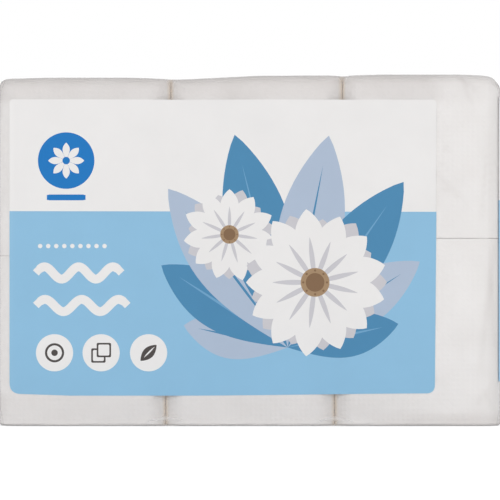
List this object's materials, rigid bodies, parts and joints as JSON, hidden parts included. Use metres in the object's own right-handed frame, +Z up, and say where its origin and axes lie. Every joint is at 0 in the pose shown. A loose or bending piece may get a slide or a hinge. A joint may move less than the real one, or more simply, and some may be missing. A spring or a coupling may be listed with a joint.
{
  "type": "toilet paper roll pack",
  "caption": "Rectangular pack of upright toilet paper rolls held tight in a clear printed film wrap, with envelope folds sealed at both ends and a lap seal across the back.",
  "frame": {"origin": "On the floor, under the middle of the pack.", "axes": "+X runs to the right along the pack as seen from the front, +Y from the front to the back, +Z up. The printed front faces -Y."},
  "size_m": [0.2942, 0.1959, 0.2066],
  "materials": {
    "film": "clear glossy polyethylene film",
    "tissue": "soft embossed white tissue",
    "cardboard": "plain brown board"
  },
  "bodies": {
    "root": {"film_wrap": "film", "tissue_front_left_lower": "tissue", "tissue_front_left_upper": "tissue", "tissue_front_middle_lower": "tissue", "tissue_front_middle_upper": "tissue", "tissue_front_right_lower": "tissue", "tissue_front_right_upper": "tissue", "tissue_back_left_lower": "tissue", "tissue_back_left_upper": "tissue", "tissue_back_middle_lower": "tissue", "tissue_back_middle_upper": "tissue", "tissue_back_right_lower": "tissue", "tissue_back_right_upper": "tissue", "cores": "cardboard"}
  },
  "joints": []
}
